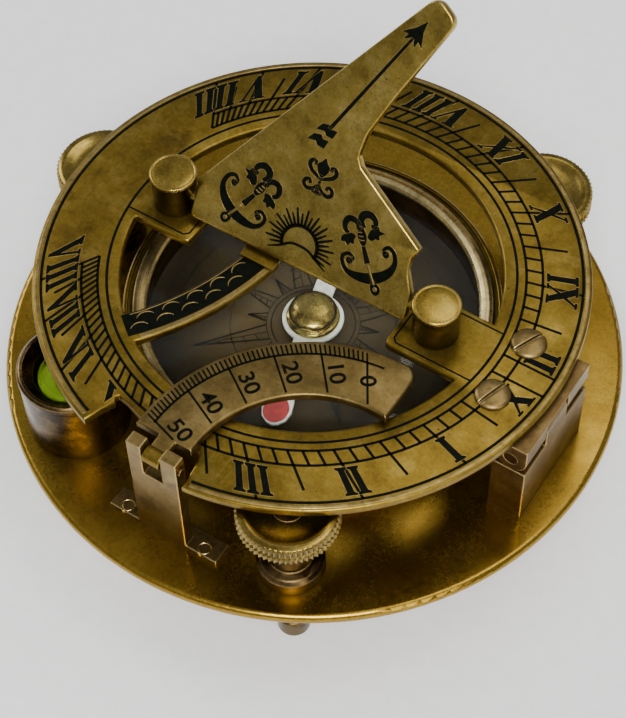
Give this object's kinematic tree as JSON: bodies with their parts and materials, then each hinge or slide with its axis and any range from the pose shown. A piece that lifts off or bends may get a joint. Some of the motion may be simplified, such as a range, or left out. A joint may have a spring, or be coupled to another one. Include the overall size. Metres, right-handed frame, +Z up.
{
  "type": "sundial compass",
  "caption": "Brass sundial compass: a tilting hour ring with a folding gnomon and latitude arc over a glazed compass, on a round base with levelling screws and a bubble level.",
  "frame": {"origin": "under the middle of the base plate, on the surface that the three feet stand on", "axes": "+Z up, +X along the noon line to the hinge of the hour ring, the latitude arc and its fork at -Y"},
  "size_m": [0.1274, 0.1274, 0.1054],
  "materials": {
    "antique_brass": "polished, with brown patina in the corners",
    "bright_brass": "bright polished",
    "clear_glass": "clear",
    "green_fluid": "clear yellow-green fluid",
    "air_bubble": "clear",
    "dial_card": "dark olive grey, engraved",
    "needle_white": "satin white"
  },
  "bodies": {
    "root": {"base_plate": "antique_brass", "under_screws": "antique_brass", "level_cup": "antique_brass", "level_vial": "clear_glass", "level_fluid": "green_fluid", "level_bubble": "air_bubble", "compass_box": "antique_brass", "compass_floor": "antique_brass", "compass_bezel": "antique_brass", "compass_glass": "clear_glass", "glass_seat": "antique_brass", "dial_card": "dial_card", "needle_pivot": "bright_brass", "hinge_lower_leaf": "antique_brass", "hinge_pin": "antique_brass", "fork_bracket": "antique_brass", "fork_pin": "antique_brass", "level_boss_front": "antique_brass", "level_boss_right": "antique_brass", "level_boss_left": "antique_brass"},
    "dial": {"hour_ring": "antique_brass", "arm_rest": "antique_brass", "gnomon_post_left": "antique_brass", "gnomon_post_right": "antique_brass", "hinge_upper_leaf": "antique_brass", "hinge_screws": "antique_brass"},
    "gnomon": {"gnomon": "antique_brass"},
    "arc": {"latitude_arc": "antique_brass"},
    "needle": {"compass_needle": "needle_white", "needle_cap": "bright_brass"},
    "foot_front": {"level_foot_front": "antique_brass"},
    "screw_front": {"level_screw_front": "antique_brass", "level_knob_front": "antique_brass"},
    "foot_right": {"level_foot_right": "antique_brass"},
    "screw_right": {"level_screw_right": "antique_brass", "level_knob_right": "antique_brass"},
    "foot_left": {"level_foot_left": "antique_brass"},
    "screw_left": {"level_screw_left": "antique_brass", "level_knob_left": "antique_brass"}
  },
  "joints": [
    {"name": "ring_tilt", "type": "hinge", "parent": "root", "child": "dial", "pos_m": [0.0532, 0, 0.0445], "axis": [0, 1, 0], "range_deg": [0, 42]},
    {"name": "gnomon_fold", "type": "hinge", "parent": "dial", "child": "gnomon", "pos_m": [0, 0, 0.0551], "axis": [1, 0, 0], "range_deg": [-56, 30]},
    {"name": "arc_swing", "type": "hinge", "parent": "root", "child": "arc", "pos_m": [0, -0.0527, 0.052], "axis": [1, 0, 0], "range_deg": [0, 90]},
    {"name": "needle_turn", "type": "hinge", "parent": "root", "child": "needle", "pos_m": [0, 0, 0.0345], "axis": [0, 0, 1], "continuous": true},
    {"name": "foot_travel_front", "type": "slide", "parent": "root", "child": "foot_front", "axis": [0, 0, 1], "range_m": [-0.004, 0]},
    {"name": "screw_turn_front", "type": "hinge", "parent": "foot_front", "child": "screw_front", "pos_m": [0.02451, -0.04609, 0.0425], "axis": [0, 0, 1], "range_deg": [-1440, 0]},
    {"name": "foot_travel_right", "type": "slide", "parent": "root", "child": "foot_right", "axis": [0, 0, 1], "range_m": [-0.004, 0]},
    {"name": "screw_turn_right", "type": "hinge", "parent": "foot_right", "child": "screw_right", "pos_m": [0.02766, 0.04427, 0.0425], "axis": [0, 0, 1], "range_deg": [-1440, 0]},
    {"name": "foot_travel_left", "type": "slide", "parent": "root", "child": "foot_left", "axis": [0, 0, 1], "range_m": [-0.004, 0]},
    {"name": "screw_turn_left", "type": "hinge", "parent": "foot_left", "child": "screw_left", "pos_m": [-0.05217, 0.00182, 0.0425], "axis": [0, 0, 1], "range_deg": [-1440, 0]}
  ],
  "couplings": [
    {"joint": "screw_turn_front", "follows": "foot_travel_front", "rad_per_m": 6283.2},
    {"joint": "screw_turn_right", "follows": "foot_travel_right", "rad_per_m": 6283.2},
    {"joint": "screw_turn_left", "follows": "foot_travel_left", "rad_per_m": 6283.2}
  ]
}
